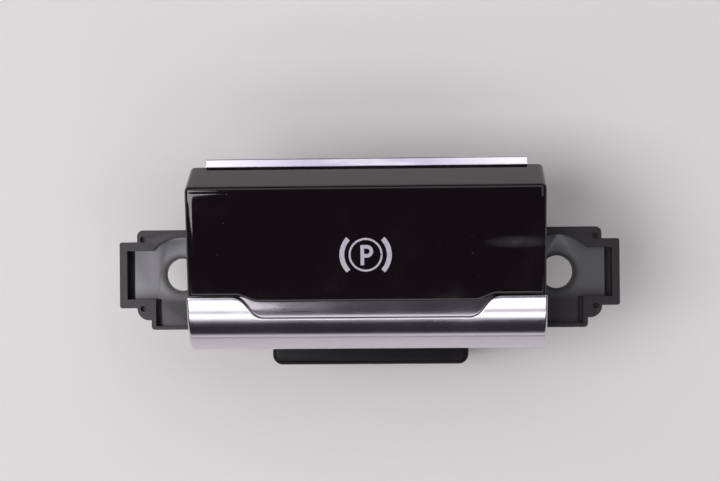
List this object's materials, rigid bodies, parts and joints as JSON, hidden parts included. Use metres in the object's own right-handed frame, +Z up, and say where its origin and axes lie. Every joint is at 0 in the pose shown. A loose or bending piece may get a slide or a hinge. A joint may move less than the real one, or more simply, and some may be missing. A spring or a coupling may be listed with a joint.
{
  "type": "parking brake switch",
  "caption": "Electric parking brake switch: a wide gloss black rocking paddle with a plated pull lip, over a housing with fixing ears and a harness socket underneath.",
  "frame": {"origin": "midway between the centres of the two ear holes, on the flat floor that the ears seat by", "axes": "+X across the console along the paddle, +Y away from the driver, +Z up out of the console"},
  "size_m": [0.0988, 0.0412, 0.0449],
  "materials": {
    "housing_black": "fine moulded grain",
    "cover_black": "fine moulded grain",
    "board_green": "solder resist",
    "chip_black": "moulded package",
    "header_black": "smooth moulding",
    "contact_tin": "tin plate",
    "silicone_grey": "soft silicone",
    "lamp_white": "lamp case",
    "lamp_amber": "lamp case",
    "guide_clear": "clear moulding",
    "pin_steel": "ground",
    "screw_steel": "zinc plate",
    "spring_steel": "drawn wire",
    "stop_rubber": "matt",
    "carrier_black": "smooth moulding",
    "cap_gloss_black": "high gloss",
    "lip_satin_chrome": "satin plated",
    "strip_chrome": "bright plated",
    "diffuser_milky": "milky",
    "plunger_natural": "natural acetal"
  },
  "bodies": {
    "housing": {"upper_housing": "housing_black", "lower_cover": "cover_black", "circuit_board": "board_green", "board_components": "chip_black", "connector_header": "header_black", "connector_pins": "contact_tin", "contact_mat": "silicone_grey", "symbol_led": "lamp_white", "status_led": "lamp_amber", "light_guide": "guide_clear", "pivot_pin": "pin_steel", "housing_screws": "screw_steel", "bump_stops": "stop_rubber", "apply_spring_left": "spring_steel", "apply_spring_right": "spring_steel", "release_spring_left": "spring_steel", "release_spring_right": "spring_steel", "apply_dome_left": "silicone_grey", "apply_dome_right": "silicone_grey", "release_dome_left": "silicone_grey", "release_dome_right": "silicone_grey"},
    "paddle": {"paddle_carrier": "carrier_black", "paddle_cap": "cap_gloss_black", "front_lip_trim": "lip_satin_chrome", "rear_trim_strip": "strip_chrome", "symbol_diffuser": "diffuser_milky"},
    "apply_plungers": {"apply_plunger_left": "plunger_natural", "apply_plunger_right": "plunger_natural"},
    "release_plungers": {"release_plunger_left": "plunger_natural", "release_plunger_right": "plunger_natural"}
  },
  "joints": [
    {"name": "paddle_rock", "type": "hinge", "parent": "housing", "child": "paddle", "pos_m": [0, 0.0095, 0.004], "axis": [-1, 0, 0], "range_deg": [-6, 8], "stiffness_Nm_per_rad": 0.6},
    {"name": "apply_slide", "type": "slide", "parent": "housing", "child": "apply_plungers", "axis": [0, 0, -1], "range_m": [-0.0007, 0.00095], "deforming": ["apply_spring_left", "apply_spring_right", "apply_dome_left", "apply_dome_right"]},
    {"name": "release_slide", "type": "slide", "parent": "housing", "child": "release_plungers", "axis": [0, 0, -1], "range_m": [-0.0008, 0.0006], "deforming": ["release_spring_left", "release_spring_right", "release_dome_left", "release_dome_right"]}
  ],
  "couplings": [
    {"joint": "apply_slide", "follows": "paddle_rock", "m_per_rad": 0.0065},
    {"joint": "release_slide", "follows": "paddle_rock", "m_per_rad": -0.0055}
  ]
}
